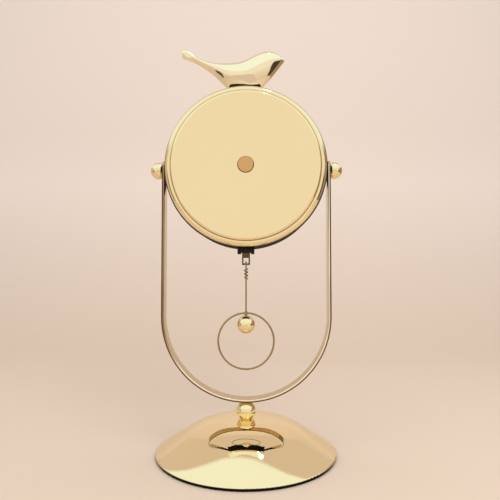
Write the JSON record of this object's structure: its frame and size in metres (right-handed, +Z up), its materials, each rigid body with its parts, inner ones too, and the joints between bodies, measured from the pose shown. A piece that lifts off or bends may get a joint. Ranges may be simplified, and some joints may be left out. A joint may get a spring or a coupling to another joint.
{
  "type": "desk pendulum clock",
  "caption": "Gold desk clock: round drum held between a U-shaped strip frame on a domed foot, bird on top, ring and ball pendulum below.",
  "frame": {"origin": "centre of the underside of the base pad", "axes": "+Z up, +Y the way the dial looks, +X from the bird's tail to its beak"},
  "size_m": [0.148, 0.135, 0.3093],
  "materials": {
    "gold": "polished plating",
    "black_shell": "gloss black",
    "pad": "matt black",
    "iron": "raw",
    "steel": "zinc plated",
    "copper_knob": "satin copper plating",
    "brass": "machined",
    "black_plastic": "fine grain",
    "dial_white": "matt cream",
    "clear": "polished",
    "winding": "enamelled copper wire",
    "board": "solder mask",
    "cell": "printed sleeve with no text",
    "hand_black": "satin black"
  },
  "bodies": {
    "stand": {"base_pad": "pad", "base_dome": "gold", "base_weight": "iron", "stem_stud": "steel", "stem_nut": "steel", "stem_washer": "steel", "stem_ball": "gold", "u_frame": "gold"},
    "left_nut": {"left_ball_nut": "gold"},
    "right_nut": {"right_ball_nut": "gold"},
    "case": {"case_drum": "black_shell", "bird": "gold", "bird_screws": "steel", "pivot_studs": "steel", "pivot_inserts": "brass", "pivot_washers": "black_plastic", "dial": "dial_white", "hour_marks": "gold", "dial_spacer": "black_plastic", "glass": "clear", "bezel": "gold", "movement_housing": "black_plastic", "movement_cover": "black_plastic", "rubber_washer": "pad", "centre_bushing": "brass", "dial_nut": "brass", "motion_post": "steel", "motor_coil": "winding", "motor_stator": "steel", "circuit_board": "board", "quartz_crystal": "steel", "battery": "cell", "battery_contacts": "steel", "pendulum_bracket": "black_plastic", "pendulum_pin": "steel", "coil_holder": "black_plastic", "drive_coil": "winding"},
    "cover": {"rear_cover": "gold"},
    "minute_works": {"setting_knob": "copper_knob", "centre_arbor": "steel", "minute_hand": "hand_black"},
    "motion_works": {"motion_wheel": "brass"},
    "hour_works": {"hour_wheel": "brass", "hour_hand": "hand_black"},
    "lever": {"pendulum_lever": "gold", "lever_magnet": "steel"},
    "bob": {"pendulum_rod": "gold", "pendulum_ring": "gold", "ring_joint": "gold", "pendulum_ball": "gold"}
  },
  "joints": [
    {"name": "case_tilt", "type": "hinge", "parent": "stand", "child": "case", "pos_m": [0, 0, 0.21397], "axis": [1, 0, 0], "range_deg": [-25, 25]},
    {"name": "left_nut_turn", "type": "hinge", "parent": "stand", "child": "left_nut", "pos_m": [0, 0, 0.21397], "axis": [-1, 0, 0], "range_deg": [-90, 90]},
    {"name": "right_nut_turn", "type": "hinge", "parent": "stand", "child": "right_nut", "pos_m": [0, 0, 0.21397], "axis": [1, 0, 0], "range_deg": [-90, 90]},
    {"name": "cover_pull", "type": "slide", "parent": "case", "child": "cover", "axis": [0, -1, 0], "range_m": [0, 0.03]},
    {"name": "minute_turn", "type": "hinge", "parent": "case", "child": "minute_works", "pos_m": [0, 0, 0.21397], "axis": [0, -1, 0], "continuous": true},
    {"name": "motion_turn", "type": "hinge", "parent": "case", "child": "motion_works", "pos_m": [0, 0, 0.22397], "axis": [0, -1, 0], "continuous": true},
    {"name": "hour_turn", "type": "hinge", "parent": "case", "child": "hour_works", "pos_m": [0, 0, 0.21397], "axis": [0, -1, 0], "continuous": true},
    {"name": "pendulum_swing", "type": "hinge", "parent": "case", "child": "lever", "pos_m": [0, -0.008, 0.15187], "axis": [0, 1, 0], "range_deg": [-8, 8]},
    {"name": "bob_sway", "type": "hinge", "parent": "lever", "child": "bob", "pos_m": [0, -0.008, 0.14172], "axis": [1, 0, 0], "range_deg": [-35, 35]}
  ],
  "couplings": [
    {"joint": "motion_turn", "follows": "minute_turn", "ratio": -0.33333},
    {"joint": "hour_turn", "follows": "minute_turn", "ratio": 0.083333}
  ]
}
